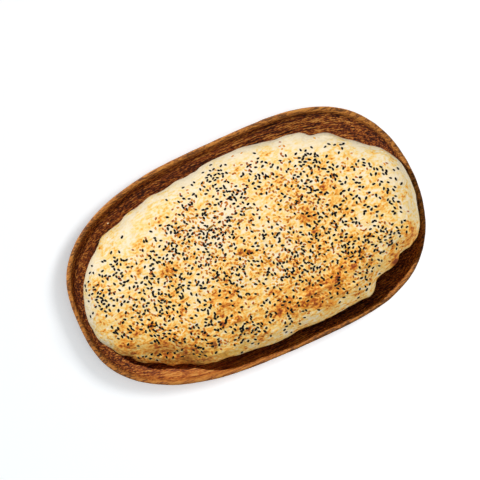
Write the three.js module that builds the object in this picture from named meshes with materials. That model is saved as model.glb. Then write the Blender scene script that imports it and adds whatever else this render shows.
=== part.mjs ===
// A puffed flatbread lying in a hollowed, oval wooden serving tray.
// Millimetres, +Z up. The origin is the middle of the tray's flat underside, and +X runs along its length.
// The bread is one baked piece that rests loose on the tray's floor. The tray is carved from one board.
import * as THREE from "three";

// The tray's overall size and the thickness of its floor.
const TRAY_LENGTH = 368;
const TRAY_WIDTH = 224;
const TRAY_HEIGHT = 28;
const FLOOR_THICKNESS = 8;

// How square the oval is towards each end: a higher length power squares the end, a higher width power
// straightens the run into it. The tray is hand cut, so its two ends differ.
const BLUNT_END = { lengthPower: 4.1, widthPower: 2.07 };
const ROUND_END = { lengthPower: 2.47, widthPower: 2.64 };

// The rim's mean width, and how far the hollow sits off the tray's centre, which thins the rim on that side.
const RIM_WIDTH = 5;
const HOLLOW_OFFSET = new THREE.Vector2(0, -0.4);
const FLOOR_INSET = 37;
const UNDERSIDE_INSET = 26;

// The bread: its thickness at the crown, the height of its widest level above its underside, and how far in
// from its outline it touches the floor.
const BREAD_THICKNESS = 62;
const BELLY_HEIGHT = 20;
const CONTACT_INSET = 30;
const RESTING_GAP = 0.3;

// It puffed less towards the round end: there its height above the belly is this share of the full height.
const ROUND_END_RISE = 0.74;

// Its two ends ride up this far on the slope of the tray's end walls, from ENDS_START out to ENDS_FULL.
const ENDS_LIFT = 3.6;
const ENDS_START = 105;
const ENDS_FULL = 172;

// Inside this width from the edge the bread's skin curves like a rolled edge; the rest is one low dome.
const EDGE_WIDTH = 42;

// Steps round each piece, and along each smooth stretch of its section.
const STEPS_ROUND = 96;
const WALL_STEPS = 7;
const EDGE_STEPS = 4;

// The bread's outline from above at its widest level, anticlockwise from the blunt end: a slipper shape
// with shallow dents where the dough folded.
const BREAD_OUTLINE = [
  [178, 2], [175, 18], [162, 37], [149, 47], [137, 59], [126, 69], [116, 75], [107, 77], [99, 83],
  [84, 88], [62, 91], [38, 94], [16, 96], [-6, 95], [-19, 91], [-42, 90], [-64, 87], [-86, 84],
  [-104, 79], [-123, 73], [-134, 65], [-149, 53], [-160, 39], [-168, 23], [-173, 5], [-173, -12],
  [-166, -33], [-156, -49], [-141, -61], [-121, -71], [-95, -83], [-66, -91], [-34, -95], [4, -97],
  [40, -96], [64, -94], [84, -94], [98, -90], [108, -82], [121, -78], [134, -74], [142, -67],
  [155, -63], [165, -54], [172, -38], [177, -17],
];

const WOOD = new THREE.MeshStandardMaterial({ color: 0x6e3a1c, roughness: 0.5, metalness: 0 });
const CRUST = new THREE.MeshStandardMaterial({ color: 0xf0d29a, roughness: 0.75, metalness: 0 });

// Turns a section into a round blank, then moves each of its points to the place that belongs to that point
// of the section on that meridian.
function shapedBlank(section, place) {
  const blank = new THREE.LatheGeometry(section, STEPS_ROUND);
  const position = blank.getAttribute("position");
  for (let i = 0; i < position.count; i++) {
    const meridian = Math.floor(i / section.length) % STEPS_ROUND;
    const point = place(meridian, i % section.length);
    position.setXYZ(i, point.x, point.y, point.z);
  }
  return blank;
}

// One point of an oval whose half length and half width are given, by meridian.
function ovalPoint(meridian, halfLength, halfWidth) {
  const angle = (2 * Math.PI * meridian) / STEPS_ROUND;
  const along = Math.cos(angle);
  const { lengthPower, widthPower } = along > 0 ? BLUNT_END : ROUND_END;
  const across = Math.sign(Math.sin(angle)) * Math.pow(1 - Math.pow(Math.abs(along), lengthPower), 1 / widthPower);
  return new THREE.Vector2(halfLength * along, halfWidth * across);
}

// The tray's section, as distance in from its outer edge against height: underside, outer wall, rim, inner
// wall and floor.
function makeTray() {
  const outerWall = new THREE.SplineCurve([
    new THREE.Vector2(UNDERSIDE_INSET, 0),
    new THREE.Vector2(UNDERSIDE_INSET - 5, 0.9),
    new THREE.Vector2(10, 8),
    new THREE.Vector2(3, 16),
    new THREE.Vector2(0, TRAY_HEIGHT - 3.5),
  ]).getPoints(WALL_STEPS);
  const rim = new THREE.SplineCurve([
    new THREE.Vector2(0, TRAY_HEIGHT - 3.5),
    new THREE.Vector2(0.25, TRAY_HEIGHT - 0.9),
    new THREE.Vector2(1.6, TRAY_HEIGHT),
    new THREE.Vector2(RIM_WIDTH - 0.8, TRAY_HEIGHT - 0.6),
    new THREE.Vector2(RIM_WIDTH, TRAY_HEIGHT - 2.5),
  ]).getPoints(EDGE_STEPS);
  const innerWall = new THREE.SplineCurve([
    new THREE.Vector2(RIM_WIDTH, TRAY_HEIGHT - 2.5),
    new THREE.Vector2(RIM_WIDTH + 1.4, 22.6),
    new THREE.Vector2(RIM_WIDTH + 4, 20),
    new THREE.Vector2(RIM_WIDTH + 11, 15.6),
    new THREE.Vector2(RIM_WIDTH + 20, 10.6),
    new THREE.Vector2(RIM_WIDTH + 26, 8.5),
    new THREE.Vector2(FLOOR_INSET, FLOOR_THICKNESS),
  ]).getPoints(WALL_STEPS + 3);
  const halfLength = TRAY_LENGTH / 2;
  const halfWidth = TRAY_WIDTH / 2;
  const insets = [
    new THREE.Vector2(halfWidth, 0),
    ...outerWall,
    ...rim.slice(1),
    ...innerWall.slice(1),
    new THREE.Vector2(halfWidth, FLOOR_THICKNESS),
  ];
  const section = insets.map((p) => new THREE.Vector2(halfWidth - p.x, p.y));
  const firstInside = 1 + outerWall.length;

  return shapedBlank(section, (meridian, row) => {
    const inset = insets[row].x;
    const atAxis = inset === halfWidth;
    const oval = atAxis ? new THREE.Vector2() : ovalPoint(meridian, halfLength - inset, halfWidth - inset);
    const hollowShare = THREE.MathUtils.clamp((row - firstInside + 1) / EDGE_STEPS, 0, 1);
    oval.addScaledVector(HOLLOW_OFFSET, hollowShare);
    return new THREE.Vector3(oval.x, oval.y, insets[row].y);
  });
}

// The bread's section, as distance in from its outline against height above its underside: flat underside,
// rolled edge and low dome.
function makeBread() {
  const outline = new THREE.CatmullRomCurve3(
    BREAD_OUTLINE.map(([x, y]) => new THREE.Vector3(x, y, 0)),
    true,
  ).getSpacedPoints(STEPS_ROUND);
  const halfWidth = Math.max(...BREAD_OUTLINE.map(([, y]) => Math.abs(y)));
  const shoulder = BREAD_THICKNESS - 5;
  const underEdge = new THREE.SplineCurve([
    new THREE.Vector2(CONTACT_INSET, 0),
    new THREE.Vector2(20, 1.6),
    new THREE.Vector2(11, 5.5),
    new THREE.Vector2(4, 12),
    new THREE.Vector2(0, BELLY_HEIGHT),
  ]).getPoints(EDGE_STEPS);
  const upperEdge = new THREE.SplineCurve([
    new THREE.Vector2(0, BELLY_HEIGHT),
    new THREE.Vector2(2.5, BELLY_HEIGHT + 11),
    new THREE.Vector2(9, BELLY_HEIGHT + 22),
    new THREE.Vector2(22, BELLY_HEIGHT + 32),
    new THREE.Vector2(EDGE_WIDTH, shoulder),
  ]).getPoints(WALL_STEPS);
  const domeShares = [0.25, 0.5, 0.75, 1];
  const dome = domeShares.map((share) => new THREE.Vector2(
    EDGE_WIDTH + (halfWidth - EDGE_WIDTH) * share,
    shoulder + (BREAD_THICKNESS - shoulder) * share * (2 - share),
  ));
  const insets = [new THREE.Vector2(halfWidth, 0), ...underEdge, ...upperEdge.slice(1), ...dome];
  const section = insets.map((p) => new THREE.Vector2(Math.max(halfWidth - p.x, 0), p.y));

  return shapedBlank(section, (meridian, row) => {
    const edge = outline[meridian];
    const inset = insets[row].x;
    const spine = new THREE.Vector3(edge.x / 2, 0, 0);
    const inwards = spine.sub(edge).normalize();
    const place = edge.clone().addScaledVector(inwards, Math.min(inset, EDGE_WIDTH));
    place.multiplyScalar(1 - Math.max(0, inset - EDGE_WIDTH) / (halfWidth - EDGE_WIDTH));
    const riseShare = THREE.MathUtils.smoothstep(place.x, -TRAY_LENGTH / 2, TRAY_LENGTH / 6);
    const rise = THREE.MathUtils.lerp(ROUND_END_RISE, 1, riseShare);
    const aboveBelly = Math.max(0, insets[row].y - BELLY_HEIGHT);
    const lift = ENDS_LIFT * THREE.MathUtils.smoothstep(Math.abs(place.x), ENDS_START, ENDS_FULL);
    place.z = FLOOR_THICKNESS + RESTING_GAP + lift + insets[row].y - aboveBelly * (1 - rise);
    return place;
  });
}

const object = new THREE.Group();

const tray = new THREE.Mesh(makeTray(), WOOD);
tray.name = "serving_tray";
object.add(tray);

const bread = new THREE.Mesh(makeBread(), CRUST);
bread.name = "puff_bread";
object.add(bread);

export default object;
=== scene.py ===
# A puffed flatbread, seeded with black and toasted sesame and baked whole, in an oval wooden serving tray.
# Everything is in metres, with +Z up and +X along the tray.
import math
import random

import bpy
import numpy as np
from mathutils import Matrix, Vector, kdtree, noise
from mathutils.bvhtree import BVHTree


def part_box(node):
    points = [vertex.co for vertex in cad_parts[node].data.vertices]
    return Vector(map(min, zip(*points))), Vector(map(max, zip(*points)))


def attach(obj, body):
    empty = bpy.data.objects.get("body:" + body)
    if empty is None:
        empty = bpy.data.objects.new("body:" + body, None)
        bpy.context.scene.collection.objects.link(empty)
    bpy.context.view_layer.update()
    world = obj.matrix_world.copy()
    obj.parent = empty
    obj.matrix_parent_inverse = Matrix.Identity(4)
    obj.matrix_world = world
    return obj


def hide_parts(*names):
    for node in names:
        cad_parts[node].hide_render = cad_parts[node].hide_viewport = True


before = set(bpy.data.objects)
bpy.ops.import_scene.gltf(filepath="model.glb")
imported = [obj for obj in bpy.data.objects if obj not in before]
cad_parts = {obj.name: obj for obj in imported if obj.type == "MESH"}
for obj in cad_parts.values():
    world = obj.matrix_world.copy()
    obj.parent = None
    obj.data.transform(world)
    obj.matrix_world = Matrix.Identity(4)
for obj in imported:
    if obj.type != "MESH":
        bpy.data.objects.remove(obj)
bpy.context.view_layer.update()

MM = 0.001


# ---- Camera ----
# Straight above the tray with a long lens, and turned, so that the tray lies slantwise across the view with
# its blunt end up and to the right.
_, tray_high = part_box("serving_tray")
LENS = 118
SENSOR = 36
VIEW_WIDTH = 480 * MM                      # what the view spans at the height of the tray's rim
VIEW_CENTRE = Vector((-1.8, 10.6)) * MM
TURN = math.radians(24.3)                  # how far the tray's length points up from the level of the view
bpy.ops.object.camera_add(
    location=(*VIEW_CENTRE, tray_high.z + VIEW_WIDTH * LENS / SENSOR),
    rotation=(0, 0, -TURN),
)
camera = bpy.context.object
camera.data.lens = LENS
camera.data.sensor_width = SENSOR
camera.data.clip_start = 0.1
bpy.context.scene.camera = camera
bpy.context.scene.view_settings.view_transform = "Standard"


# ---- Studio ----
# A plain white light table. The key lamp, high on the far left, lights the bread and the tray, and a weaker
# fill lamp on the near right opens the bread's own shadows. Two more lamps light the table alone: one casts
# the tray's shadow to the left, and a broad one overhead the faint soft shadow all round it.
TABLE_SIZE = 20
AIM = Vector((0, 0, 20 * MM))              # what the lamps point at
KEY_FROM = Vector((-0.5, 0.86, 1.11))
FILL_FROM = Vector((0.60, -0.46, 1.25))
TABLE_LAMP_FROM = Vector((0.80, 0.13, 1))
SOFT_LAMP_FROM = Vector((0.15, -0.1, 1))
CLOSE = 1.8                                # how far off the key and the fill lamp stand

bpy.ops.mesh.primitive_plane_add(size=TABLE_SIZE)
table = bpy.context.object
table.name = "light_table"


def add_lamp(name, direction, distance, size, power):
    """A square lamp that shines on the tray from that direction."""
    place = AIM + direction.normalized() * distance
    turned = direction.to_track_quat("Z", "Y").to_euler()
    bpy.ops.object.light_add(type="AREA", location=place, rotation=turned)
    lamp = bpy.context.object
    lamp.name = name
    lamp.data.size = size
    lamp.data.energy = power
    return lamp


def link_lamp(lamp, state, *pieces):
    """Lets the lamp light these pieces alone (INCLUDE), or everything but these pieces (EXCLUDE)."""
    group = bpy.data.collections.new(lamp.name + "_lights")
    for number, piece in enumerate(pieces):
        group.objects.link(piece)
        group.collection_objects[number].light_linking.link_state = state
    lamp.light_linking.receiver_collection = group


key_lamp = add_lamp("key_lamp", KEY_FROM, distance=CLOSE, size=0.06, power=24.5)
key_lamp.data.color = (1.0, 0.98, 0.95)
link_lamp(key_lamp, "EXCLUDE", table)
fill_lamp = add_lamp("fill_lamp", FILL_FROM, distance=CLOSE, size=0.4, power=18.5)
fill_lamp.data.color = (1.0, 0.97, 0.92)
table_lamp = add_lamp("table_lamp", TABLE_LAMP_FROM, distance=4, size=1.2, power=86)
link_lamp(table_lamp, "INCLUDE", table)
soft_lamp = add_lamp("soft_lamp", SOFT_LAMP_FROM, distance=2.5, size=2.0, power=26)
link_lamp(soft_lamp, "INCLUDE", table)

world = bpy.data.worlds.new("studio")
world.use_nodes = True
room_light = world.node_tree.nodes["Background"].inputs
room_light["Color"].default_value = (1.0, 0.97, 0.93, 1)
room_light["Strength"].default_value = 0.06
bpy.context.scene.world = world


class Shade:
    """A value in a material: the output socket of one of its nodes. Arithmetic on it adds Math nodes."""

    def __init__(self, tree, socket=None):
        self.tree = tree
        self.socket = socket

    def node(self, kind, settings, values, output=0):
        """Adds a node of that kind: its settings first, then the value or the link of each socket."""
        made = self.tree.nodes.new("ShaderNode" + kind)
        for name, setting in settings.items():
            if name == "stops":
                ramp = made.color_ramp.elements
                for position, _ in setting[1:-1]:
                    ramp.new(position)
                for element, (position, colour) in zip(ramp, setting):
                    element.position = position
                    element.color = (*colour, 1)
            else:
                setattr(made, name, setting)
        for name, value in values.items():
            if isinstance(value, Shade):
                self.tree.links.new(value.socket, made.inputs[name])
            else:
                made.inputs[name].default_value = value
        return Shade(self.tree, made.outputs[output])

    def maths(self, operation, first, second):
        return self.node("Math", {"operation": operation}, {0: first, 1: second})

    def __add__(self, other):
        return self.maths("ADD", self, other)

    def __sub__(self, other):
        return self.maths("SUBTRACT", self, other)

    def __rsub__(self, other):
        return self.maths("SUBTRACT", other, self)

    def __mul__(self, other):
        return self.maths("MULTIPLY", self, other)

    __radd__ = __add__
    __rmul__ = __mul__

    def between(self, low, high):
        """0 up to low, 1 from high on, and a smooth rise between them. It falls where low is above high."""
        return self.node(
            "MapRange",
            {"interpolation_type": "SMOOTHSTEP"},
            {"Value": self, "From Min": low, "From Max": high},
        )

    def noise(self, scale, stretch=(1, 1, 1), detail=3.0, distortion=0.0):
        """Smooth noise at this place, with that many waves to the metre, drawn out by the stretch."""
        shrunk = tuple(1 / s for s in stretch)
        place = self.node("Mapping", {}, {"Vector": self, "Scale": shrunk})
        sockets = {"Vector": place, "Scale": scale, "Detail": detail, "Distortion": distortion}
        return self.node("TexNoise", {}, sockets)

    def tint(self, first, second):
        """The first colour where this value is 0, and the second where it is 1."""
        sockets = {"Factor": self, 6: first, 7: second}
        return self.node("Mix", {"data_type": "RGBA"}, sockets, output=2)

    def coordinate(self, axis):
        """How far this place lies along one axis of the object."""
        return self.node("SeparateXYZ", {}, {"Vector": self}, output=axis)

    def painted(self, attribute):
        """The value of that attribute of the mesh."""
        return self.node("Attribute", {"attribute_name": attribute}, {}, output="Fac")

    def ramp(self, *stops):
        """The colour that this value has between the stops, each a position and a colour."""
        return self.node("ValToRGB", {"stops": stops}, {"Fac": self})


def start_material(name, piece):
    """A new material on the piece, as its surface shader and its places in the object's own frame."""
    material = bpy.data.materials.new(name)
    material.use_nodes = True
    piece.data.materials.clear()
    piece.data.materials.append(material)
    surface = material.node_tree.nodes["Principled BSDF"]
    place = Shade(material.node_tree).node("TexCoord", {}, {}, output="Object")
    return surface, place


def finish_surface(surface, colour, roughness, bumps):
    """Links a shader to its colour, its roughness and a stack of bumps, each a height and its depth."""
    tree = colour.tree
    tree.links.new(colour.socket, surface.inputs["Base Color"])
    if isinstance(roughness, Shade):
        tree.links.new(roughness.socket, surface.inputs["Roughness"])
    else:
        surface.inputs["Roughness"].default_value = roughness
    normal = None
    for height, depth in bumps:
        sockets = {"Height": height, "Distance": depth}
        if normal:
            sockets["Normal"] = normal
        normal = colour.node("Bump", {}, sockets)
    if normal:
        tree.links.new(normal.socket, surface.inputs["Normal"])


surface, place = start_material("light table acrylic", table)
cloudiness = place.noise(2)
finish_surface(surface, cloudiness.tint((0.79, 0.80, 0.81, 1), (0.80, 0.81, 0.82, 1)), 0.9, [])
surface.inputs["Specular IOR Level"].default_value = 0
surface.inputs["Emission Color"].default_value = (0.91, 0.97, 1.0, 1)
surface.inputs["Emission Strength"].default_value = 0.43


# ---- Serving tray ----
# A shallow oval dish carved from one board of figured hardwood, then oiled. The gouge and the sander leave
# its walls and its rim a little uneven, and handling has rubbed the rim pale.

def only(*pieces):
    """Selects these objects and nothing else. The last one is active."""
    bpy.ops.object.select_all(action="DESELECT")
    for piece in pieces:
        piece.select_set(True)
    bpy.context.view_layer.objects.active = pieces[-1]


def copy_node(node, name):
    """A new piece in the shape of a CAD node, its loose triangles merged into one skin of quads."""
    piece = bpy.data.objects.new(name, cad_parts[node].data.copy())
    bpy.context.scene.collection.objects.link(piece)
    only(piece)
    bpy.ops.object.mode_set(mode="EDIT")
    bpy.ops.mesh.select_all(action="SELECT")
    bpy.ops.mesh.customdata_custom_splitnormals_clear()
    bpy.ops.mesh.remove_doubles(threshold=0.01 * MM)
    bpy.ops.mesh.tris_convert_to_quads()
    bpy.ops.object.mode_set(mode="OBJECT")
    bpy.ops.object.shade_smooth()
    return piece


def apply_modifier(piece, kind, **settings):
    """Adds a modifier of that kind to the piece and applies it."""
    modifier = piece.modifiers.new(kind.lower(), kind)
    for name, setting in settings.items():
        setattr(modifier, name, setting)
    only(piece)
    bpy.ops.object.modifier_apply(modifier=modifier.name)


def waves(points, scale, offset=0.0):
    """Smooth noise from about -1 to 1 at each point, with that many waves to the metre."""
    fading, fineness, octaves = 0.6, 2.0, 2
    shift = Vector((offset, offset, offset))
    return np.array([noise.fractal(Vector(p) * scale + shift, fading, fineness, octaves) for p in points])


def push(piece, amounts):
    """Moves each point of the piece along its normal by its own amount."""
    mesh = piece.data
    for vertex, normal, amount in zip(mesh.vertices, [v.normal.copy() for v in mesh.vertices], amounts):
        vertex.co += normal * amount
    mesh.update()


def points_of(piece):
    """The piece's points, as rows of an array."""
    return np.array([v.co for v in piece.data.vertices])


def rise(values, low, high):
    """0 up to low, 1 from high on, and a smooth rise between them."""
    share = np.clip((values - low) / (high - low), 0, 1)
    return share * share * (3 - 2 * share)


tray = copy_node("serving_tray", "carved_tray")
apply_modifier(tray, "SUBSURF", levels=2, render_levels=2)
# The subdivision draws the oval in a little, so it is stretched back to its full length and width.
drawn_in = points_of(tray).max(axis=0)
tray.data.transform(Matrix.Diagonal((tray_high.x / drawn_in[0], tray_high.y / drawn_in[1], 1, 1)))
tray_points = points_of(tray)
off_table = rise(tray_points[:, 2], 0.5 * MM, 5 * MM)
uneven = 0.45 * MM * waves(tray_points, 28) + 0.18 * MM * waves(tray_points, 110, offset=7)
push(tray, uneven * off_table)

# The board is flat-sawn, so its growth rings are low arcs about a pith far below it. The carving cuts them
# like contour lines, which swirl where the wood grew round a knot. Its near side carries painted light:
# the wood of the near wall and rim is paler, and its pores fainter, as if lit more strongly there.
surface, place = start_material("oiled figured hardwood", tray)
PITH_ACROSS = 30 * MM
PITH_DEPTH = 340 * MM
TRUNK_TAPER = 0.12                         # how much each step along the board adds to the ring's radius
along = place.coordinate("X")
across = place.coordinate("Y")
up = place.coordinate("Z")
from_pith = place.node(
    "Mapping",
    {},
    {"Vector": place, "Location": (0, -PITH_ACROSS, PITH_DEPTH), "Scale": (TRUNK_TAPER, 1, 1)},
)
ring_radius = from_pith.node("VectorMath", {"operation": "LENGTH"}, {0: from_pith}, output="Value")
figure = place.noise(9, stretch=(3, 1, 1), detail=2)
ring = ring_radius + figure * 0.028
grain = place.node("CombineXYZ", {}, {"X": along * 0.05, "Y": ring, "Z": across * 0.3})
bands = grain.noise(90, detail=2)
fibres = grain.noise(950, detail=2)
pores = place.noise(880, stretch=(3, 1, 1), detail=2, distortion=0.2)
patches = place.noise(16, stretch=(2.5, 1, 1), detail=2)
# Painted light: the near wall and rim are paler, with fainter pores, as if lit more strongly.
painted_near_light = across.between(-50 * MM, -90 * MM) * along.between(40 * MM, -90 * MM)
curl = along.between(20 * MM, 75 * MM) * across.between(55 * MM, 85 * MM)
light_share = bands * 0.6 + fibres * 1.8 + patches * 0.3 + painted_near_light * 0.17 - 0.93
light_share += (pores - 0.5) * (2.3 - painted_near_light * 1.4)
light_share += curl * (fibres * 1.4 - 0.62)
# Painted shadow of the lip: the wood just under it is darkened, on the far side towards the blunt end.
lip_shadow = up.between(18.5 * MM, 22 * MM) * up.between(25.5 * MM, 23.5 * MM) * across.between(0, 40 * MM)
light_share -= lip_shadow * along.between(20 * MM, 90 * MM) * 0.2
wood = light_share.ramp(
    (0.0, (0.046, 0.013, 0.008)),
    (0.30, (0.172, 0.042, 0.014)),
    (0.52, (0.385, 0.092, 0.021)),
    (0.74, (0.660, 0.215, 0.034)),
    (1.0, (0.880, 0.430, 0.100)),
)
# Handling has rubbed the rim pale, most of all where the wood was light to begin with.
rubbed = up.between(23 * MM, 26.6 * MM) * ((fibres + pores).between(0.80, 1.18) * 0.55 + 0.17)
wood = rubbed.tint(wood, (0.720, 0.300, 0.056, 1))
gloss = 0.55 + fibres * 0.2
finish_surface(surface, wood, gloss, [(fibres, 0.25 * MM), (pores, 0.15 * MM)])
surface.inputs["Specular IOR Level"].default_value = 0.3
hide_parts("serving_tray")
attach(tray, "root")

# The fill lamp reaches neither the table nor the tray, whose near wall lies in deep shade.
link_lamp(fill_lamp, "EXCLUDE", table, tray)


# ---- Bread ----
# One piece of soft dough, stretched into a slipper shape and baked hot, so that it puffed. Its crust is
# pale and floury round the edge, golden on top, and browned where it blistered.
VOXEL = 1.34 * MM
bread = copy_node("puff_bread", "bread_crust")
apply_modifier(bread, "SUBSURF", levels=2, render_levels=2)
apply_modifier(bread, "REMESH", mode="VOXEL", voxel_size=VOXEL, use_smooth_shade=True)
apply_modifier(bread, "SMOOTH", factor=0.5, iterations=6)


def mounds(points, spots):
    """The sum, over the points seen from above, of smooth round mounds: x, y, radius in mm, and height."""
    total = np.zeros(len(points))
    for x, y, radius, height in spots:
        apart = np.hypot(points[:, 0] - x * MM, points[:, 1] - y * MM) / (radius * MM)
        total += height * np.clip(1 - apart ** 2, 0, None) ** 2
    return total


def creases(points, lines):
    """The sum, over the points seen from above, of smooth ridges: both ends and width in mm, and height."""
    total = np.zeros(len(points))
    for x0, y0, x1, y1, width, height in lines:
        start, run = np.array([x0, y0]) * MM, np.array([x1 - x0, y1 - y0]) * MM
        from_start = points[:, :2] - start
        share = np.clip(from_start @ run / (run @ run), 0, 1)
        apart = np.hypot(*(from_start - share[:, None] * run).T) / (width * MM)
        fade = 0.35 + 0.65 * np.sin(math.pi * share)
        total += height * fade * np.clip(1 - apart ** 2, 0, None) ** 2
    return total


# Where the crust blistered most, as x, y and radius in mm and the blister's height in mm.
BLISTERS = [
    (-5, 0, 9, 1.6), (2, -5, 7, 1.2), (68, -12, 7, 1.5), (-115, -29, 7, 1.5), (-35, -60, 7, 1.6),
    (-52, -57, 6, 1.2), (-67, -71, 7, 1.4), (88, -60, 7, 1.3), (30, -73, 8, 1.2), (60, -66, 16, 1.5),
    (-88, 48, 6, 1.0), (-75, 15, 13, 1.4), (100, 15, 13, 1.3), (70, 10, 12, 1.2), (155, -50, 10, 1.4),
    (-150, -40, 14, 1.6), (25, 70, 10, 1.1), (-40, -38, 14, 1.2), (-104, 24, 6, 1.0), (92, 24, 5, 0.9),
    (118, -64, 10, 1.3), (130, -72, 9, 1.1), (-130, -52, 14, 1.8), (8, 18, 8, 0.8), (-22, -55, 9, 1.0),
]
random.seed(11)
small_blisters = [
    (random.uniform(-160, 165), random.uniform(-85, 85), random.uniform(2.5, 5.5), random.uniform(0.3, 0.7))
    for _ in range(170)
]
# Long soft folds where the dough was stretched and lapped, as mounds and hollows.
FOLDS = [
    (-114, -74, 12, 1.4), (-141, -61, 14, 2.6), (-60, -90, 14, -0.8), (-88, -85, 14, 1.6),
    (50, -98, 46, 1.8), (-10, -98, 34, 2.6), (96, -91, 14, 3.4), (120, -80, 15, 1.4), (107, -83, 7, -0.4),
    (134, -72, 12, 1.0), (148, -64, 8, 1.8), (157, -60, 10, 0.4), (122, 78, 14, 1.8), (107, 80, 7, -1.6),
    (134, 62, 12, -1.2), (-128, 71, 9, 2.0), (-106, 78, 16, -2.2), (-84, 85, 16, -2.0), (0, 97, 22, -1.8),
    (-50, 90, 16, -2.2), (-14, 93, 7, -1.2), (160, 32, 14, 0.6), (168, -30, 16, -0.8), (-168, -24, 14, 1.4),
    (-152, -51, 9, -1.2), (138, -71, 7, -1.8), (72, 90, 14, -1.6), (20, 96, 18, -1.0), (97, 85, 9, 1.2),
]
# Narrow creases and lips, where the skin of the dough wrinkled: both ends, width in mm, and height in mm.
CREASES = [
    (-82, -78, -52, -84, 3.0, 1.3), (-78, -82, -48, -88, 2.6, -1.2), (-74, -86, -40, -91, 3.0, 1.0),
    (-128, -60, -100, -72, 3.2, 1.2), (-126, -66, -98, -77, 2.6, -1.1), (-30, -80, -4, -86, 3.0, 0.8),
    (18, -62, 62, -60, 3.4, -1.0), (24, -67, 74, -64, 3.2, 1.2), (30, -73, 66, -70, 2.8, -0.9),
    (70, -56, 100, -52, 3.0, 0.8), (60, -78, 92, -74, 3.0, 1.0), (84, -82, 104, -80, 2.6, 0.9),
    (96, -66, 118, -62, 3.0, -0.8), (128, -64, 140, -58, 3.0, 1.0), (146, -54, 160, -46, 3.4, 1.0),
    (-60, -38, -30, -40, 3.0, 0.6), (-16, -46, 20, -44, 2.8, 0.6), (40, -42, 84, -40, 3.0, 0.7),
    (-160, -30, -150, -44, 3.0, 0.8), (150, 20, 162, 8, 3.0, 0.6), (-97, 84, -86, 86, 2.6, 1.0),
    (-137, 60, -128, 67, 2.6, 1.0), (108, 68, 122, 66, 3.0, -0.8),
]
crust_points = points_of(bread)
along_bread, across_bread, up_bread = crust_points.T
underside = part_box("puff_bread")[0].z
risen = rise(up_bread, underside + 2 * MM, underside + 10 * MM)
swell = 2.0 * MM * waves(crust_points, 13) + 0.7 * MM * waves(crust_points, 42, offset=3)
swell += MM * mounds(crust_points, BLISTERS + small_blisters + FOLDS)
swell += MM * creases(crust_points, CREASES)
wrinkled = rise(across_bread, -20 * MM, -62 * MM) * rise(along_bread, -160 * MM, -120 * MM)
swell += 0.55 * MM * wrinkled * waves(crust_points * (0.35, 1, 1), 210, offset=9)
swell += 0.16 * MM * waves(crust_points, 190, offset=5)
push(bread, swell * risen)

# Its near edge towards the round end puffed least, and lies low against the tray's wall.
LOW_EDGE = [(-122, -74, 54, 1.6)]
LOW_EDGE_DROP = 9 * MM
outwards = -0.45 * along_bread - 0.89 * across_bread
edge_share = mounds(crust_points, LOW_EDGE) * rise(outwards, 90 * MM, 112 * MM)
drops = LOW_EDGE_DROP * np.clip(edge_share, 0, 1) * rise(up_bread, 12 * MM, 26 * MM)
for vertex, drop in zip(bread.data.vertices, drops):
    vertex.co.z -= drop

# How browned the crust is, from pale at 0 to scorched at 1, as x, y and radius in mm and the amount.
BROWNED = [
    (-75, 11, 15, 0.42), (-5, 0, 9, 0.5), (2, -6, 9, 0.4), (102, 10, 20, 0.38), (70, 6, 18, 0.44),
    (52, 44, 18, 0.2), (28, 74, 14, 0.28), (73, 64, 15, 0.26), (-38, -34, 24, 0.24), (8, -30, 16, 0.2),
    (34, -24, 14, 0.16), (100, -48, 28, 0.24), (60, -66, 34, 0.34), (20, -68, 24, 0.28),
    (130, -71, 13, 0.42), (155, -50, 14, 0.52), (150, -62, 14, 0.2), (-115, -48, 22, 0.28),
    (-150, -38, 20, 0.34), (-140, -12, 18, 0.2), (-82, -5, 12, 0.2), (-90, 48, 7, 0.4),
    (-100, -74, 34, 0.28), (-112, 74, 10, 0.2), (-92, 82, 7, 0.6), (-150, 28, 18, 0.16),
    (100, 22, 16, 0.3), (48, 16, 16, 0.14), (138, -18, 12, 0.16), (171, 22, 10, 0.22),
    (-133, 63, 6, 0.6), (68, -12, 7, 0.45), (-115, -29, 5, 0.38), (-35, -60, 7, 0.46),
    (-52, -57, 5, 0.36), (-67, -71, 6, 0.44), (88, -60, 7, 0.38), (30, -73, 7, 0.38),
    (5, -70, 8, 0.34), (-104, 24, 6, 0.42), (92, 24, 5, 0.4), (-28, -10, 12, 0.2),
    (40, -78, 16, 0.2), (-60, -60, 80, 0.10), (60, -60, 90, 0.10),
    (-125, -45, 60, 0.17), (-90, -78, 30, 0.18), (80, 20, 60, 0.07), (-130, -62, 24, 0.18),
]
# The darkest blisters, which scorched at the tip, each with its ring of rust.
SCORCHED = [
    (-6, 0, 5, 0.60), (1, -4, 5, 0.56), (67, -12, 4, 0.42), (-113, -30, 5, 0.42), (-35, -59, 5, 0.38),
    (-51, -58, 5, 0.32), (-67, -71, 5, 0.34), (88, -58, 5, 0.32), (30, -74, 5, 0.3), (-104, 23, 4, 0.36),
    (92, 24, 4, 0.34), (74, -55, 9, 0.16), (45, -63, 11, 0.16), (-76, 14, 6, 0.2), (129, -72, 6, 0.25),
    (12, -51, 4, 0.30), (32, -24, 5, 0.26),
]
# Where the crust stayed pale and floury, with amounts below 0.
FLOURY = [
    (-85, 68, 42, -0.14), (-20, 92, 34, -0.26), (30, 92, 34, -0.30), (80, 88, 34, -0.30),
    (112, 74, 28, -0.34), (148, 52, 24, -0.26), (168, 6, 26, -0.22), (168, -28, 26, -0.22),
    (-168, 10, 22, -0.18), (-148, 52, 24, -0.2), (-30, 33, 30, -0.16), (6, 50, 26, -0.12),
    (36, -93, 22, -0.2), (70, -93, 20, -0.22), (94, -87, 14, -0.2), (6, -95, 14, -0.12),
    (-40, -92, 18, -0.14), (-100, 55, 30, -0.06), (-125, -66, 7, -0.3),
]
top_share = rise(up_bread, underside + 26 * MM, underside + 48 * MM)
near_side = 1 - rise(across_bread, -90 * MM, 20 * MM)
browning = 0.15 + 0.355 * near_side + (0.20 - 0.21 * near_side) * top_share
browning += 0.7 * mounds(crust_points, BROWNED) + mounds(crust_points, SCORCHED + FLOURY)
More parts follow.
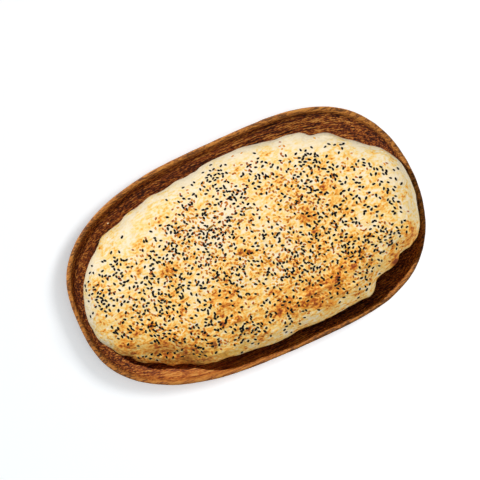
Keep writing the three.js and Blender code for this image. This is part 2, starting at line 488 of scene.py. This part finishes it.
browning += 0.10 * mounds(crust_points, small_blisters)
under_share = 1 - rise(up_bread, underside + 0.5 * MM, underside + 6 * MM)
browning += under_share * (0.42 + 0.25 * waves(crust_points, 60))

surface, place = start_material("baked crust", bread)
baked = place.painted("browning")
cloud = place.noise(55, detail=3, distortion=0.4)
mottle = place.noise(170, stretch=(1.8, 1, 1), detail=3, distortion=0.6)
fleck = place.noise(400, stretch=(1.4, 1, 1), detail=2)
# The crust browned in blotches, which are weaker where it is palest and where it is darkest.
blotches = cloud * 0.9 + mottle * 1.3 + fleck * 1.7 - 1.95
blotchiness = (baked.between(0, 0.3) * 0.6 + 0.4) * (1 - baked.between(0.4, 0.7) * 0.4)
toast = baked + 0.02 + blotches * blotchiness
crust = toast.ramp(
    (0.0, (0.888, 0.768, 0.555)),
    (0.20, (0.885, 0.706, 0.390)),
    (0.42, (0.890, 0.632, 0.218)),
    (0.58, (0.885, 0.498, 0.105)),
    (0.74, (0.790, 0.310, 0.036)),
    (0.88, (0.490, 0.125, 0.014)),
    (1.0, (0.240, 0.050, 0.008)),
)
flour = place.noise(75, detail=4, distortion=0.8).between(0.52, 0.70) * baked.between(0.34, 0.05)
crust = (flour * 0.5).tint(crust, (0.88, 0.77, 0.57, 1))
# The glaze pooled and dried yellow along the near edge, towards the round end.
along = place.coordinate("X")
across = place.coordinate("Y")
pooled = along.between(-24 * MM, -50 * MM) * across.between(-62 * MM, -82 * MM)
glaze = pooled * place.noise(110, stretch=(2, 1, 1)).between(0.38, 0.60)
crust = (glaze * 0.5).tint(crust, (0.700, 0.440, 0.080, 1))
pits = place.noise(900, detail=2)
finish_surface(
    surface, crust, 0.52 + mottle * 0.3,
    [(mottle, 1.2 * MM), (fleck, 0.6 * MM), (pits, 0.2 * MM)],
)
surface.inputs["Specular IOR Level"].default_value = 0.2
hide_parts("puff_bread")
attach(bread, "root")


# ---- Sesame seeds ----
# Black and toasted sesame, strewn over the wet dough by hand, so that they lie in drifts, and baked on.
# Each seed is a flat teardrop between 3 and 4 mm long, and sits a little way into the crust.
SEED_LENGTH = 3.6 * MM
SEED_WIDTH = 2.2 * MM
SEED_THICKNESS = 1.2 * MM
bpy.ops.object.select_all(action="DESELECT")
bpy.ops.mesh.primitive_uv_sphere_add(segments=8, ring_count=6, radius=0.5, rotation=(0, math.pi / 2, 0))
seed = bpy.context.object
seed.scale = (SEED_THICKNESS, SEED_WIDTH, SEED_LENGTH)
bpy.ops.object.transform_apply(location=False, rotation=True, scale=True)
bpy.ops.object.shade_smooth()
for vertex in seed.data.vertices:
    along = vertex.co.x / SEED_LENGTH + 0.5
    vertex.co.y *= 1.1 - 0.45 * along ** 2
    vertex.co.z *= 1.08 - 0.35 * along ** 2

crust_skin = BVHTree.FromObject(bread, bpy.context.evaluated_depsgraph_get())
taken = []
SOWN_LOW = (-158, -90)                     # the corners, in mm, of the box that the loose seeds fall in
SOWN_HIGH = (165, 80)


def drop_onto(skin, x, y):
    """Where something dropped from high above that place lands on the skin, and the normal there."""
    high_above = Vector((x, y, 300 * MM))
    hit, normal, _, _ = skin.ray_cast(high_above, Vector((0, 0, -1)))
    return hit, normal


def lay_seed(x, y, nearest, scale, steepest=0.45):
    """A seed's place on the crust at x, y in mm, or None if that is taken or the crust is too steep."""
    if any((x - a) ** 2 + (y - b) ** 2 < nearest ** 2 for a, b in taken):
        return None
    hit, normal = drop_onto(crust_skin, x * MM, y * MM)
    if hit is None or normal.z < steepest:
        return None
    taken.append((x, y))
    lean = Vector((random.gauss(0, 0.12), random.gauss(0, 0.12), 0))
    tilt = Vector((0, 0, 1)).rotation_difference(normal + lean)
    turn = Matrix.Rotation(random.uniform(0, 2 * math.pi), 4, "Z")
    size = scale * random.uniform(0.88, 1.1)
    sunk = hit + normal * SEED_THICKNESS * random.uniform(0.16, 0.34)
    return Matrix.Translation(sunk) @ tilt.to_matrix().to_4x4() @ turn @ Matrix.Scale(size, 4)


def bare_beyond(x):
    """How far across the crust is seeded, in mm, at x along it. Beyond that its far edge is bare."""
    return 62 + 0.15 * x if x < 0 else 79 - 0.14 * x


def strew(name, drifts, loose, nearest, scale):
    """One piece of many seeds: those in the drifts (x, y, spread in mm, how many) and the loose ones."""
    places = []
    for x, y, spread, count in drifts:
        for _ in range(count):
            places.append(lay_seed(random.gauss(x, spread), random.gauss(y, spread), nearest, scale))
    for _ in range(loose):
        x, y = (random.uniform(low, high) for low, high in zip(SOWN_LOW, SOWN_HIGH))
        if y < bare_beyond(x):
            places.append(lay_seed(x, y, nearest, scale, steepest=0.8))
    seeds = []
    for place in filter(None, places):
        sown = bpy.data.objects.new(name, seed.data.copy())
        tint = sown.data.attributes.new("tint", "FLOAT", "POINT")
        tint.data.foreach_set("value", [random.random()] * len(sown.data.vertices))
        sown.data.transform(place)
        bpy.context.scene.collection.objects.link(sown)
        seeds.append(sown)
    only(*seeds)
    bpy.ops.object.join()
    piece = bpy.context.object
    piece.name = name
    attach(piece, "root")
    return piece


BLACK_DRIFTS = [
    (-152, 40, 7, 18), (-150, 16, 8, 34), (-124, 28, 6, 18), (-118, 45, 8, 10), (-140, 8, 9, 14),
    (-114, 8, 8, 16), (-98, 2, 8, 18), (-88, -2, 8, 16), (-74, -4, 7, 20), (-66, 4, 6, 10),
    (-122, -14, 9, 20), (-133, -27, 8, 20), (-117, -37, 8, 24), (-96, -12, 8, 14), (-100, -32, 8, 12),
    (-60, 36, 8, 18), (-50, 52, 8, 22), (-70, 26, 8, 14), (-40, 40, 7, 12), (-22, 46, 7, 16),
    (-32, 16, 9, 20), (-20, 26, 7, 12), (-48, 12, 8, 12), (-34, 66, 7, 14), (-6, 66, 8, 24),
    (2, 74, 8, 18), (12, 73, 6, 10), (10, 52, 5, 30), (16, 42, 6, 8), (38, 64, 6, 18), (48, 72, 6, 8),
    (65, 62, 7, 8), (88, 57, 5, 16), (104, 56, 7, 8), (126, 53, 5, 6), (70, 36, 9, 14), (86, 38, 7, 10),
    (102, 36, 7, 12), (116, 30, 7, 8), (138, 30, 5, 8), (60, 20, 6, 6), (84, 16, 8, 10), (112, 12, 7, 8),
    (152, 15, 4, 14), (160, 5, 6, 6), (80, -6, 8, 14), (98, -8, 8, 16), (150, -10, 5, 12),
    (128, -16, 6, 8), (-26, -12, 8, 16), (-14, -18, 7, 12), (-36, -22, 8, 10), (8, -12, 9, 10),
    (10, -32, 8, 12), (30, -26, 8, 18), (42, -34, 8, 16), (58, -26, 8, 10), (86, -26, 8, 14),
    (92, -38, 8, 12), (108, -42, 8, 18), (130, -36, 7, 14), (142, -40, 5, 10), (130, -50, 7, 14),
    (66, -52, 9, 12), (42, -50, 9, 10), (90, -52, 7, 10), (150, -30, 6, 6), (-62, -44, 9, 12),
    (-96, -48, 8, 14), (-106, -60, 9, 16), (-74, -62, 8, 18), (-60, -68, 7, 12), (-90, -74, 8, 12),
    (-126, -58, 8, 8), (-40, -68, 8, 16), (-22, -74, 6, 18), (-12, -64, 8, 8), (8, -66, 6, 12),
    (100, -71, 7, 24), (114, -62, 7, 8), (62, -78, 8, 8), (20, -85, 9, 8), (0, -88, 7, 8),
    (-34, -88, 8, 10), (-44, -80, 7, 6), (84, -84, 7, 6),
    (-20, 22, 8, 14), (-6, 30, 8, 14), (-32, 2, 8, 14), (8, 8, 9, 14), (28, 6, 8, 12), (-50, -12, 8, 14),
    (-70, -26, 8, 16), (50, -50, 8, 12), (126, -48, 7, 10), (-30, -66, 7, 10), (30, -68, 8, 10),
    (72, 0, 8, 10), (128, 12, 7, 10), (-88, 30, 8, 16), (72, -14, 8, 8), (90, 50, 8, 12), (0, 72, 8, 10),
    (-130, 30, 9, 12), (-148, 8, 8, 12), (-56, -52, 9, 12), (36, -10, 9, 10), (110, 30, 8, 8),
]
TOASTED_DRIFTS = [
    (-45, 45, 14, 80), (-20, 30, 14, 90), (-60, 30, 14, 56), (10, 50, 14, 50), (-25, 58, 12, 36),
    (20, -28, 13, 60), (45, -30, 13, 70), (70, -36, 13, 50), (95, -34, 13, 46), (115, -46, 12, 34),
    (60, 30, 13, 54), (66, 12, 12, 50), (25, 10, 14, 50), (50, 52, 12, 26), (82, 60, 12, 20),
    (95, 30, 12, 26), (-105, -20, 13, 50), (-92, -38, 13, 40), (-112, 8, 12, 30), (-80, 2, 12, 34),
    (-140, 20, 10, 16), (-28, -14, 13, 56), (0, -10, 12, 44), (-30, 8, 12, 50), (-50, -62, 14, 34),
    (-85, -62, 13, 26), (0, -62, 14, 34), (40, -62, 14, 40), (80, -60, 13, 40), (88, -8, 12, 30),
    (120, 10, 14, 16), (30, 74, 10, 12), (135, -58, 10, 14),
]
HULL_GRAIN = 1500
HULL_DEPTH = 0.06 * MM
random.seed(5)
black_seeds = strew("black_sesame_seeds", BLACK_DRIFTS, loose=470, nearest=2.25, scale=1.04)
surface, place = start_material("black sesame hull", black_seeds)
hull = place.noise(HULL_GRAIN, detail=2)
shade = place.painted("tint") * 0.6 + hull * 0.4
black = shade.tint((0.001, 0.001, 0.001, 1), (0.006, 0.005, 0.006, 1))
finish_surface(surface, black, 0.7, [(hull, HULL_DEPTH)])
surface.inputs["Specular IOR Level"].default_value = 0.15
toasted_seeds = strew("toasted_sesame_seeds", TOASTED_DRIFTS, loose=330, nearest=1.5, scale=0.86)
surface, place = start_material("toasted sesame hull", toasted_seeds)
hull = place.noise(HULL_GRAIN, detail=2)
roast = place.painted("tint") * 0.8 + hull * 0.3 - 0.05
toasted = roast.ramp(
    (0.0, (0.260, 0.045, 0.004)),
    (0.35, (0.480, 0.130, 0.008)),
    (0.7, (0.700, 0.270, 0.014)),
    (1.0, (0.820, 0.450, 0.040)),
)
finish_surface(surface, toasted, 0.6, [(hull, HULL_DEPTH)])
surface.inputs["Specular IOR Level"].default_value = 0.2
bpy.data.objects.remove(seed)

# The crust browned less where it was sheltered, right beside a seed, which completes its browning.
sown_places = kdtree.KDTree(len(taken))
for number, (x, y) in enumerate(taken):
    sown_places.insert((x * MM, y * MM, 0), number)
sown_places.balance()
from_seed = np.array([sown_places.find((x, y, 0))[2] for x, y, _ in crust_points])
browning -= 0.21 * (1 - rise(from_seed, 1.2 * MM, 3.0 * MM)) * risen
browned = bread.data.attributes.new("browning", "FLOAT", "POINT")
browned.data.foreach_set("value", browning.astype(np.float32))


# ---- Husk strips ----
# Two scraps of husk that came with the seeds. Each is a thin, dry strip that curled in the oven and was
# baked onto the crust.
HUSKS = [(-24, 34, 11, 13, -0.4), (19, 34.5, 8.5, -12, 0.8)]       # x, y, length, turn in degrees, and bow
HUSK_THICKNESS = 1.5 * MM
HUSK_CUTS = (-0.36, -0.2, 0, 0.2, 0.36)
strips = []
for x, y, length, turn, bow in HUSKS:
    bpy.ops.object.select_all(action="DESELECT")
    bpy.ops.mesh.primitive_cylinder_add(
        vertices=8,
        radius=HUSK_THICKNESS / 2,
        depth=length * MM,
        end_fill_type="TRIFAN",
        rotation=(0, math.pi / 2, 0),
    )
    strip = bpy.context.object
    bpy.ops.object.transform_apply(location=False, rotation=True, scale=False)
    only(strip)
    bpy.ops.object.mode_set(mode="EDIT")
    for cut in HUSK_CUTS:
        bpy.ops.mesh.select_all(action="SELECT")
        bpy.ops.mesh.bisect(plane_co=(cut * length * MM, 0, 0), plane_no=(1, 0, 0))
    bpy.ops.object.mode_set(mode="OBJECT")
    turned = Matrix.Rotation(math.radians(turn), 3, "Z")
    for vertex in strip.data.vertices:
        share = 2 * vertex.co.x / (length * MM)
        taper = 1 - 0.55 * share ** 4
        bowed = vertex.co.y * taper + bow * MM * (1 - share ** 2)
        spot = turned @ Vector((vertex.co.x, bowed, 0)) + Vector((x * MM, y * MM, 0))
        landed, _ = drop_onto(crust_skin, spot.x, spot.y)
        vertex.co = Vector((spot.x, spot.y, landed.z + vertex.co.z * taper + 0.3 * HUSK_THICKNESS))
    bpy.ops.object.shade_smooth()
    strips.append(strip)
only(*strips)
bpy.ops.object.join()
husks = bpy.context.object
husks.name = "husk_strips"
surface, place = start_material("dry sesame husk", husks)
ribs = place.noise(900, stretch=(4, 1, 1), detail=2)
finish_surface(surface, ribs.tint((0.18, 0.08, 0.008, 1), (0.52, 0.28, 0.04, 1)), 0.7, [(ribs, 0.1 * MM)])
surface.inputs["Specular IOR Level"].default_value = 0.2
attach(husks, "root")


# ---- Crust crumb ----
# A crumb of pale crust, about 2 mm across, that broke off when the bread was handled. It dropped onto the
# tray's far wall and lies loose there.
CRUMB_X = -116 * MM
CRUMB_Y = 80.5 * MM
CRUMB_RADIUS = 1 * MM
tray_skin = BVHTree.FromObject(tray, bpy.context.evaluated_depsgraph_get())
landed, _ = drop_onto(tray_skin, CRUMB_X, CRUMB_Y)
crumb_centre = landed + Vector((0, 0, 0.7 * CRUMB_RADIUS))
bpy.ops.object.select_all(action="DESELECT")
bpy.ops.mesh.primitive_ico_sphere_add(subdivisions=2, radius=CRUMB_RADIUS, location=crumb_centre)
crumb = bpy.context.object
crumb.name = "crust_crumb"
crumb.scale = (1.1, 0.75, 0.8)
bpy.ops.object.transform_apply(location=True, rotation=True, scale=True)
push(crumb, 0.3 * MM * waves(points_of(crumb), 900))
bpy.ops.object.shade_smooth()
surface, place = start_material("bread crumb", crumb)
finish_surface(surface, place.noise(900).tint((0.86, 0.66, 0.38, 1), (0.88, 0.76, 0.54, 1)), 0.8, [])
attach(crumb, "root")
